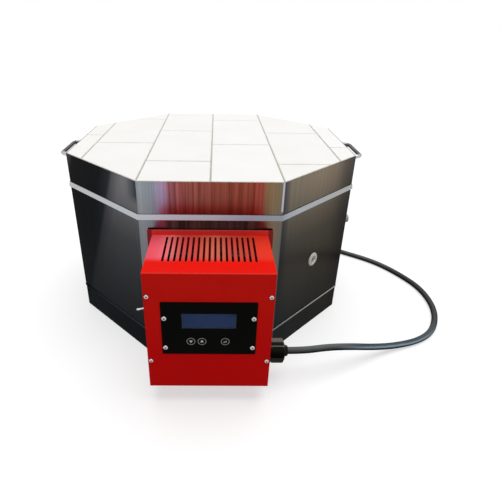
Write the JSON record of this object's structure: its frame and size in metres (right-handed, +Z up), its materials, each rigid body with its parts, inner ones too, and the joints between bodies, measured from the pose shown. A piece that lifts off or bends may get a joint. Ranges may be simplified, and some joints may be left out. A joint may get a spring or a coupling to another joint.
{
  "type": "ceramic kiln",
  "caption": "Octagonal top-loading electric kiln: brick chamber in a steel casing, lift-off brick lid with side handles, front control box with display, keys, toggle and supply cord.",
  "frame": {"origin": "on the kiln's upright axis, in the plane of the base pan's underside, which stands on the surface", "axes": "+Z up, -Y towards the control box at the front, +X to the right of someone who faces the front, where the cord leaves"},
  "size_m": [0.7948, 0.8419, 0.334],
  "materials": {
    "stainless": "mirror-bright stainless sheet",
    "handle_steel": "polished stainless rod",
    "rim_strip": "satin folded strip",
    "rivet_steel": "plain domed heads",
    "firebrick": "matt porous insulating firebrick",
    "cement": "matt cream refractory cement",
    "ceramic_fibre": "white ceramic fibre blanket",
    "heating_alloy": "oxidised dark grey resistance wire",
    "hard_ceramic": "smooth unglazed ceramic",
    "plug_ceramic": "smooth unglazed ceramic",
    "brass": "plain turned brass",
    "red_paint": "satin red powder coat",
    "dark_red_paint": "satin dark red powder coat",
    "zinc": "zinc plated",
    "bright_screws": "bright plated pan heads",
    "black_panel": "satin black plate",
    "display_glass": "clear blue-tinted window",
    "display_dark": "dark blue display, off",
    "circuit_board": "green solder mask",
    "black_plastic": "matt black moulding",
    "button_grey": "dark grey key caps",
    "pale_plastic": "off-white moulding",
    "switch_metal": "bright nickel plate",
    "black_rubber": "soft black seal",
    "cord_rubber": "dark grey rubber sheath with a soft sheen",
    "plug_rubber": "black moulded rubber",
    "pin_metal": "nickel plated pins"
  },
  "bodies": {
    "kiln": {"base_pan": "stainless", "body_casing": "stainless", "casing_seam_strip": "stainless", "body_rim": "rim_strip", "floor_bricks": "firebrick", "wall_bricks": "firebrick", "insulation_blanket": "ceramic_fibre", "casing_rivets": "rivet_steel", "heating_element": "heating_alloy", "tail_insulators": "hard_ceramic", "thermocouple_sheath": "hard_ceramic", "peephole_sleeve_side": "hard_ceramic", "peephole_sleeve_corner": "hard_ceramic", "tail_clamps": "brass", "thermocouple_block": "hard_ceramic", "control_back_plate": "dark_red_paint", "control_chassis": "red_paint", "control_cover": "red_paint", "plate_spacers": "zinc", "mounting_bolts": "zinc", "mounting_nuts": "zinc", "chassis_screws": "zinc", "cover_screws": "bright_screws", "panel_screws": "bright_screws", "front_panel": "black_panel", "display_window": "display_glass", "display_module": "display_dark", "controller_board": "circuit_board", "board_standoffs": "zinc", "board_nuts": "zinc", "key_switches": "black_plastic", "relay": "black_plastic", "power_supply": "zinc", "terminal_block": "pale_plastic", "toggle_body": "switch_metal", "toggle_nut": "switch_metal", "gland_body": "black_plastic", "gland_nut": "black_plastic", "gland_seal": "black_rubber", "gland_locknut": "black_plastic", "cable_tail": "cord_rubber", "cord_run": "cord_rubber", "cord_coil": "cord_rubber", "mains_plug": "plug_rubber", "plug_pins": "pin_metal"},
    "lid": {"lid_bricks": "firebrick", "lid_cement": "cement", "lid_band": "stainless", "lid_gasket": "ceramic_fibre", "lid_handle_left": "handle_steel", "lid_handle_right": "handle_steel", "handle_bolts": "bright_screws", "lid_seam_strip": "stainless", "lid_rivets": "rivet_steel"},
    "side_plug": {"peephole_plug_side": "plug_ceramic"},
    "corner_plug": {"peephole_plug_corner": "plug_ceramic"},
    "toggle": {"toggle_lever": "switch_metal"},
    "down_key": {"button_down": "button_grey"},
    "up_key": {"button_up": "button_grey"},
    "enter_key": {"button_enter": "button_grey"}
  },
  "joints": [
    {"name": "lid_lift", "type": "slide", "parent": "kiln", "child": "lid", "axis": [0, 0, 1], "range_m": [0, 0.3]},
    {"name": "side_plug_pull", "type": "slide", "parent": "kiln", "child": "side_plug", "axis": [1, 0, 0], "range_m": [0, 0.09]},
    {"name": "corner_plug_pull", "type": "slide", "parent": "kiln", "child": "corner_plug", "axis": [0.7071, -0.7071, 0], "range_m": [0, 0.075]},
    {"name": "toggle_flip", "type": "hinge", "parent": "kiln", "child": "toggle", "pos_m": [-0.098, -0.335, 0.147], "axis": [0, 1, 0], "range_deg": [0, 28]},
    {"name": "down_key_press", "type": "slide", "parent": "kiln", "child": "down_key", "axis": [0, 1, 0], "range_m": [0, 0.0005], "stiffness_N_per_m": 1500},
    {"name": "up_key_press", "type": "slide", "parent": "kiln", "child": "up_key", "axis": [0, 1, 0], "range_m": [0, 0.0005], "stiffness_N_per_m": 1500},
    {"name": "enter_key_press", "type": "slide", "parent": "kiln", "child": "enter_key", "axis": [0, 1, 0], "range_m": [0, 0.0005], "stiffness_N_per_m": 1500}
  ]
}
